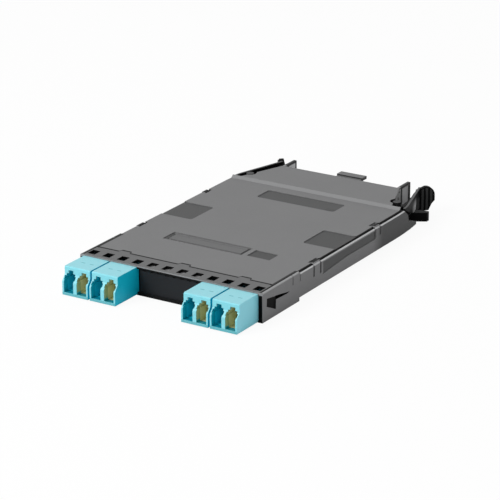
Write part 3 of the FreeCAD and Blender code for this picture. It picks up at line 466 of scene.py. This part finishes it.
# Painted shade in the joints beside the cover and on the step on the snap tongues' tops; painted highlight on the
# wall's top edge and the front rim.
joint = box(tree, spot, rim=(41.0, 42.38, RIM_FADE), up=(10.5, 11.75), back=(28.0, 129.0))
rim_highlight = box(tree, spot, rim=(42.5, 43.3, RIM_FADE), up=(11.1, 11.75), back=(28.3, 128.0))
tongue_top_shade = box(tree, spot, upwards, rim=(38.0, 42.35, RIM_FADE), up=(11.76, 12.6), back=(28.5, 112.0))
front_rim_highlight = box(tree, spot, side=(42.4, 43.3, RIM_FADE), up=(11.9, 12.5), back=(0.5, 28.0))
front_joint_shade = box(tree, spot, side=(41.4, 42.3, RIM_FADE), up=(12.2, 12.5), back=(0.6, 28.0))
post = box(tree, spot, frontways, side=(40.9, 42.9), back=(-0.2, 1.0), up=(-0.5, 11.3))
# Painted shade in the finger holes, the windows, the seam, the pivots and the frame and sill round the blank.
finger_hole_shade = box(tree, spot, side=(38.0, 42.9), back=(2.8, 21.0), up=(2.4, 9.4))
window = box(tree, spot, steep, back=(1.8, 6.4), up=(9.0, 12.36), side=(-1.0, 41.5))
seam_shade = box(tree, spot, placed(tree, seam_group)["Line"], up=(11.0, 12.5), side=(-1.0, 42.2))
pivot_wall_shade = box(tree, spot, steep, **PIVOT, up=(8.0, 13.25))
pivot_top_shade = box(tree, spot, upwards, **PIVOT, up=(12.9, 13.6))
blank_frame_shade = box(tree, spot, frontways, side=(-1.0, 16.0), back=(-0.2, 12.0), up=(-0.5, 11.9))
sill_top_shade = box(tree, spot, upwards, side=(-1.0, 15.4), back=(-0.2, 11.0), up=(0.4, 2.0))
ear_edge = box(tree, spot, back=(136.5, 146.0), up=(1.0, 14.0))
# Painted highlight on each ear's root and sunk face.
ear_root_highlight = box(tree, spot, sideways, back=(134.5, 136.4), up=(1.0, 12.6))
ear_face_highlight = box(tree, spot, sideways, back=(138.6, 143.6, 0.4), up=(3.2, 12.3, 0.4))
# Painted shade in the slits beside each snap tongue.
slits = []
for centre, half, low in SNAP_SLITS:
    from_centre = math_node(tree, "ABSOLUTE", math_node(tree, "SUBTRACT", spot["Back"], centre))
    slit = band(tree, from_centre, half - 0.5, half + 0.5, 0.1)
    slits.append((box(tree, spot, sideways, slit, up=(low, 11.3), rim=(41.5, 43.2)), 0.008))
painted(tree, shader, plastic, [
    (strip_top_shade, 0.142), (panel, 0.118), (rear_shade, 0.11), (ear_edge, 0.06), (ear_root_highlight, 0.6), (ear_face_highlight, 0.7),
    (joint, 0.006), (rim_highlight, 0.62), (front_rim_highlight, 0.4), (front_joint_shade, 0.006), (post, 0.0015),
    (finger_hole_shade, 0.003), (window, 0.002), (seam_shade, 0.003), (pivot_wall_shade, 0.015), (pivot_top_shade, 0.07),
    (blank_frame_shade, 0.006), (sill_top_shade, 0.012), (tongue_top_shade, 0.015)] + slits)
dress(body_grey, "base_housing")

# %% [markdown]
# The blank between the ports and the two latches are black, in a less glossy plastic. A black surface shows mostly
# its reflections, so its specular level is low. The blank's top is painted paler where it lies under the windows,
# as painted light. The tops of the three ribs on each thumb pad are painted a lighter grey, and the top of the
# catch beside it carries a painted highlight: the pad's face is a slanting plane, so a mask on the distance along
# its normal finds the ribs.

# %% Black pieces
blank_black, tree, shader, plastic = moulded("blank_black", (0.016, 0.017, 0.019), 0.5, specular=0.1,
                                             edge_light=2.2)
spot, look = placed(tree, place_group), placed(tree, facing_group)
# Painted light: the blank's top is paler under the windows.
under_windows_light = box(tree, spot, band(tree, look["Up"], 0.9, 1.1), back=(1.8, 8.0))
painted(tree, shader, plastic, [(under_windows_light, 0.24)])
dress(blank_black, "port_blank")

PAD_TURN = math.radians(49.4)
PAD_SIDE, PAD_BACK = 35.7, 145.0
LATCH_BLACK = (0.002, 0.002, 0.0022)
latch_black, tree, shader, plastic = moulded("latch_black", LATCH_BLACK, 0.42, specular=0.05, edge_light=5.0)
spot = placed(tree, place_group)
off_face = math_node(tree, "SUBTRACT",
                     math_node(tree, "MULTIPLY_ADD", spot["Side"], math.sin(PAD_TURN),
                               -PAD_SIDE * math.sin(PAD_TURN) + PAD_BACK * math.cos(PAD_TURN)),
                     math_node(tree, "MULTIPLY", spot["Back"], math.cos(PAD_TURN)))
# The rib tops are painted a lighter grey; the catch's top carries a painted highlight.
rib_top = box(tree, spot, band(tree, off_face, 1.15, 3.0, 0.1), back=(139.0, 152.0))
barb_highlight = box(tree, spot, back=(128.0, 137.5), up=(4.75, 5.0), side=(37.0, 44.0))
painted(tree, shader, plastic, [(rib_top, 0.035), (barb_highlight, 0.07)])
dress(latch_black, "latch_lever_left", "latch_lever_right")

# %% [markdown]
# Each lever also has a thin spring plate that runs straight from the end of the side wall to the thumb pad, a
# little outside the arm. Over the cover it shows as a dark line on the far side, and near the pad its outer face
# carries a painted highlight, as does its top edge. A plate is a grid stood on edge: its columns are moved to
# stations along the line, each with the height of the lower edge there, then it is given its thickness and a bevel,
# and the second one is its mirror image. An extruded curve would do as well, but the grid keeps the stepped lower
# edge simple. A narrow web ties the plate to the arm.

# %% Spring plates on the levers
PLATE_FRONT, PLATE_REAR = Vector((42.0, 120.0)), Vector((35.0, 143.6))
PLATE_TOP, PLATE_THICK, PLATE_ROUNDING = 12.4, 0.9, 0.15
STATIONS = [(115.6, 42.7, 11.6), (118.0, 42.4, 10.4), (120.0, 42.0, 9.3), (125.0, 40.52, 7.3), (131.0, 38.74, 5.3),
            (134.4, 37.73, 5.3), (135.8, 37.31, 8.6), (143.6, 35.0, 8.6)]
WEB = [(41.0, 121.6), (37.4, 133.8), (36.0, 133.8), (36.6, 131.6), (37.3, 130.0), (37.8, 126.0), (38.2, 123.6),
       (38.2, 121.6)]
WEB_LOW, WEB_THICK = 8.4, 1.0


def spring_plate(name, sign):
    """The plate of one side; a station is the distance behind the front, the distance aside and the low edge."""
    shape = bmesh.new()
    last = len(STATIONS) - 1
    bmesh.ops.create_grid(shape, x_segments=last, y_segments=1, size=0.5)
    for corner in shape.verts:
        behind, aside, low = STATIONS[round((corner.co.x + 0.5) * last)]
        corner.co = (aside, behind, PLATE_TOP if corner.co.y > 0 else low)
    bmesh.ops.recalc_face_normals(shape, faces=shape.faces)
    outward = 1.0 if next(iter(shape.faces)).normal.x > 0 else -1.0
    bmesh.ops.solidify(shape, geom=list(shape.faces), thickness=PLATE_THICK * outward)
    rim = [e for e in shape.edges if e.calc_face_angle(0.0) > 1.0]
    bmesh.ops.bevel(shape, geom=rim, offset=PLATE_ROUNDING, segments=2, profile=0.5, material=-1, affect="EDGES")
    web = shape.faces.new([shape.verts.new((x, y, WEB_LOW)) for x, y in WEB])
    grown = bmesh.ops.extrude_face_region(shape, geom=[web])["geom"]
    bmesh.ops.translate(shape, vec=(0, 0, WEB_THICK), verts=[g for g in grown if isinstance(g, bmesh.types.BMVert)])
    bmesh.ops.scale(shape, vec=(sign * MM, MM, MM), verts=shape.verts)
    bmesh.ops.translate(shape, vec=(0, FRONT_Y, 0), verts=shape.verts)
    bmesh.ops.recalc_face_normals(shape, faces=shape.faces)
    data = bpy.data.meshes.new(name)
    shape.to_mesh(data)
    shape.free()
    plate = bpy.data.objects.new(name, data)
    scene.collection.objects.link(plate)
    return plate


plate_black, tree, shader, plastic = moulded("plate_black", LATCH_BLACK, 0.42, specular=0.05, edge_light=2.0)
spot = placed(tree, place_group)
slant = (PLATE_FRONT.x - PLATE_REAR.x) / (PLATE_REAR.y - PLATE_FRONT.y)
off_plate = math_node(tree, "MULTIPLY_ADD", spot["Back"], slant, -PLATE_FRONT.x - slant * PLATE_FRONT.y)
off_plate = math_node(tree, "ADD", off_plate, spot["Side"])
# Painted highlight on the plate's outer face near the pad and on its top edge.
outer_face_highlight = box(tree, spot, band(tree, off_plate, -0.12, 0.5), band(tree, spot["Back"], 134.2, 150.0, 7.0),
                 back=(110.0, 134.7, 0.5), up=(2.0, 8.0, 3.0))
plate_top_highlight = box(tree, spot, up=(12.25, 12.6, 0.1))
painted(tree, shader, plastic, [(outer_face_highlight, 0.42), (plate_top_highlight, 0.1)])
for side_name, sign in (("right", 1), ("left", -1)):
    plate = spring_plate("spring_plate_" + side_name, sign)
    plate.data.materials.append(plate_black)
    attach(plate, "lever_" + side_name)
    print(plate.name, len(plate.data.polygons), "faces")

# %% [markdown]
# ## Cover
# The cover is the same plastic with an etched top, and its shallow fields are polished smooth, so they look
# darker. The fields are real steps in the solid, a third of a millimetre deep, so a mask on height finds them:
# everything on the flat part that lies below the top face. One field has a paler floor and a dark line round it.
# The slope up to the raised rear part and the skirt at its rear corners carry a painted highlight, and the cut
# edge, the joint beside the strip and the notch round each latch's pivot are painted in shade.

# %% Cover finish
EDGE_FADE = 0.02

cover_grey, tree, shader, plastic = moulded("cover_grey", (0.162, 0.163, 0.165), 0.6, specular=0.25,
                                            grain_bump=0.3, edge_light=1.25, unevenness=0.3)
spot, look = placed(tree, place_group), placed(tree, facing_group)
upwards = band(tree, look["Up"], 0.9, 1.1, 0.01)
steep = band(tree, look["Up"], -1.1, 0.4)
field = box(tree, spot, upwards, up=(12.0, 12.28, EDGE_FADE))
right_field = box(tree, spot, field, across=(14.0, 45.0, EDGE_FADE), back=(10.0, 100.0, EDGE_FADE))
framed_field = box(tree, spot, field, across=(-23.1, 11.8, EDGE_FADE), back=(33.4, 39.6, EDGE_FADE))
inside_frame = box(tree, spot, across=(-23.3, 12.0, EDGE_FADE), back=(33.4, 39.7, EDGE_FADE))
frame_line = box(tree, spot, upwards, math_node(tree, "SUBTRACT", 1.0, inside_frame),
                 across=(-24.6, 13.3, EDGE_FADE), back=(32.1, 41.0, EDGE_FADE))
# Painted highlight on the slope up to the rear part and on the skirt; painted shade on the cut edge, the joint
# beside the strip, the pivot notches and the seam.
slope_highlight = box(tree, spot, band(tree, look["Up"], 0.4, 0.9, 0.02), back=(111.7, 114.0, 0.1))
cut_edge_shade = box(tree, spot, steep, rim=(41.2, 42.5))
front_joint_shade = box(tree, spot, side=(40.9, 42.5, RIM_FADE), back=(10.0, 28.0))
pivot_notch_shade = box(tree, spot, steep, side=(32.5, 41.0), back=(115.5, 123.0))
skirt_highlight = box(tree, spot, steep, back=(127.0, 134.8, 4.0), side=(28.0, 36.0))
painted(tree, shader, plastic, [
    (field, 0.06), (right_field, 0.052), (framed_field, 0.12), (frame_line, 0.045), (slope_highlight, 0.22),
    (cut_edge_shade, 0.004), (front_joint_shade, 0.006), (pivot_notch_shade, 0.004), (skirt_highlight, 0.35),
    (placed(tree, seam_group)["Line"], 0.003)])
dress(cover_grey, "top_cover")

# %% [markdown]
# ## Ports
# The adapters are a pale aqua nylon, through which light passes a little, and a little subsurface scattering
# softens the edges. Masks on place paint the rest: a deep teal as painted shade in the gap between two adapters and
# on the flank beside the blank, a paler aqua as painted light on the outer flank, and a darker aqua as painted
# shade on the front face, darker still on its low lip. Inside each pair the left port has a teal liner and the
# right one khaki; their colours are painted on the port walls up to the port's front, the teal brightened as
# painted light, with the side walls of the left ports and the floors darker as painted shade. The front face stands
# upright to above the ports' middle and then slants back to the top. Two short dashes and a dot are printed on the
# top of each adapter.

# %% Group: place in a port
PAIR_X, ADAPTER_STEP, PORT_STEP = 28.25, 6.6, 3.125
LIP_FRONT, LIP_UP, SLANT_UP, SLANT_BACK = -15.5, 6.0, 2.6, 2.0

port_group, _, end = new_group("place_in_port", [], ["Adapter", "Port", "Depth"])
spot = placed(port_group, place_group)


def fold(tree, value, step):
    """Moves both sides of zero onto a centre at the step, with their signs kept."""
    sign = math_node(tree, "SIGN", value)
    return math_node(tree, "SUBTRACT", value, math_node(tree, "MULTIPLY", sign, step))


in_pair = fold(port_group, spot["Across"], PAIR_X)
in_adapter = fold(port_group, in_pair, ADAPTER_STEP)
in_port = fold(port_group, in_adapter, PORT_STEP)
over_lip = math_node(port_group, "DIVIDE", math_node(port_group, "SUBTRACT", spot["Up"], LIP_UP), SLANT_UP,
                     clamp=True)
front_plane = math_node(port_group, "MULTIPLY_ADD", over_lip, SLANT_BACK, LIP_FRONT)
port_group.links.new(in_adapter, end.inputs["Adapter"])
port_group.links.new(in_port, end.inputs["Port"])
port_group.links.new(math_node(port_group, "SUBTRACT", spot["Back"], front_plane), end.inputs["Depth"])
print("adapters at", [round(s * PAIR_X + t * ADAPTER_STEP, 2) for s in (-1, 1) for t in (-1, 1)])

# %% Port finishes
DEEP_SHADE_TEAL, PORT_LIT_TEAL, KHAKI = (0.001, 0.52, 0.7, 1), (0.004, 0.85, 0.97, 1), (0.36, 0.46, 0.24, 1)
FRONT_SHADE_AQUA, LIP_SHADE_AQUA, FLANK_LIT_AQUA = (0.2, 0.59, 0.67, 1), (0.106, 0.395, 0.45, 1), (0.3, 0.78, 0.9, 1)
WALL_SHADE_TEAL, FLOOR_SHADE_TEAL, MARK_TEAL = (0.003, 0.4, 0.5, 1), (0.002, 0.22, 0.3, 1), (0.1, 0.4, 0.46, 1)
MARK_FADE = 0.08

aqua, tree, shader, plastic = moulded("port_aqua", (0.26, 0.62, 0.69), 0.42, specular=0.35, grain_scale=1500.0,
                                      grain_bump=0.06, edge_light=1.3, unevenness=0.1)
shader.inputs["Subsurface Weight"].default_value = 0.1
shader.inputs["Subsurface Radius"].default_value = (0.3, 1.0, 1.0)
shader.inputs["Subsurface Scale"].default_value = 0.8 * MM
spot, look, port = placed(tree, place_group), placed(tree, facing_group), placed(tree, port_group)
sideways = band(tree, look["Side"], 0.7, 1.1)
# Painted shade: a darker aqua on the front face and its low lip, a deep teal on the flank beside the blank and
# between two adapters. Painted light: a paler aqua on the outer flank.
front_face_shade = box(tree, port, band(tree, look["Front"], 0.5, 1.1), depth=(-0.2, 0.3))
low_lip_shade = box(tree, spot, front_face_shade, up=(-0.5, 1.4, 0.1))
blank_flank_shade = box(tree, spot, sideways, side=(15.3, 15.6))
outer_flank_light = box(tree, spot, sideways, side=(40.8, 41.2))
between = box(tree, spot, sideways, side=(27.6, 28.9))
# The liners' colours are painted on the port walls, the teal brightened as painted light; the side walls of the
# left ports and the floors are darker as painted shade.
cavity = box(tree, spot, box(tree, port, port=(-2.72, 2.72, 0.04), depth=(0.35, 30.0, 0.3)), up=(1.3, 9.05, 0.04))
left_wall_shade = box(tree, spot, cavity, sideways)
right_port = box(tree, spot, box(tree, port, cavity, adapter=(0.0, 6.0)), up=(2.5, 9.2, 0.4))
port_floor_shade = box(tree, spot, cavity, band(tree, look["Up"], 0.8, 1.1), up=(1.0, 2.2))
dash_line = band(tree, spot["Back"], -7.3, -6.8, MARK_FADE)
left_dash = box(tree, port, dash_line, adapter=(-2.5, -0.7, MARK_FADE))
right_dash = box(tree, port, dash_line, adapter=(1.6, 3.4, MARK_FADE))
dot = box(tree, port, band(tree, spot["Back"], -1.3, -0.8, MARK_FADE), adapter=(4.35, 4.85, MARK_FADE))
marks = math_node(tree, "MAXIMUM", math_node(tree, "MAXIMUM", left_dash, right_dash), dot)
marks_on_top = box(tree, look, marks, up=(0.75, 1.1))
painted(tree, shader, plastic, [
    (front_face_shade, FRONT_SHADE_AQUA), (low_lip_shade, LIP_SHADE_AQUA), (blank_flank_shade, DEEP_SHADE_TEAL), (outer_flank_light, FLANK_LIT_AQUA),
    (between, DEEP_SHADE_TEAL), (cavity, PORT_LIT_TEAL), (left_wall_shade, WALL_SHADE_TEAL), (right_port, KHAKI),
    (port_floor_shade, FLOOR_SHADE_TEAL), (marks_on_top, MARK_TEAL)])
dress(aqua, *numbered("lc_adapter", range(1, 5)))

teal_liner = moulded("teal_liner", (0.004, 0.55, 0.68), 0.45)[0]
khaki_liner = moulded("khaki_liner", (0.66, 0.68, 0.4), 0.5)[0]
dress(teal_liner, *numbered("sleeve_holder", (1, 3, 5, 7)))
dress(khaki_liner, *numbered("sleeve_holder", (2, 4, 6, 8)))

# %% [markdown]
# ## Inside and behind
# The inner pieces show only through the ports or with the cover off: white zirconia sleeves, black plugs, aqua
# fibre legs and the black multi-fibre adapter behind. They get the same recipe with their own values, because the
# part is also seen from the rear and taken apart.

# %% Inner pieces
zirconia = moulded("zirconia_white", (0.78, 0.77, 0.73), 0.15, grain_bump=0.02, edge_light=1.1, unevenness=0.05)[0]
dress(zirconia, *numbered("split_sleeve", range(1, 9)))
plug_black = moulded("plug_black", (0.02, 0.02, 0.021), 0.4)[0]
dress(plug_black, "mpo_plug", "mpo_ferrule", "fan_out_block", *numbered("lc_plug", range(1, 9)))
adapter_black, tree, shader, plastic = moulded("adapter_black", (0.03, 0.03, 0.031), 0.45, specular=0.25)
look = placed(tree, facing_group)
# Painted highlight: the adapter's upward faces are a lighter grey.
painted(tree, shader, plastic, [(band(tree, look["Up"], 0.8, 1.1), 0.12)])
dress(adapter_black, "mpo_adapter")
jacket = moulded("jacket_aqua", (0.12, 0.55, 0.6), 0.3, grain_bump=0.04, unevenness=0.08)[0]
dress(jacket, "trunk_cable", *numbered("fibre_leg", range(1, 9)))
bare = [name for name, piece in nodes.items() if not piece.data.materials]
print("pieces without a finish:", bare)

# %% Size
low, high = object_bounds()
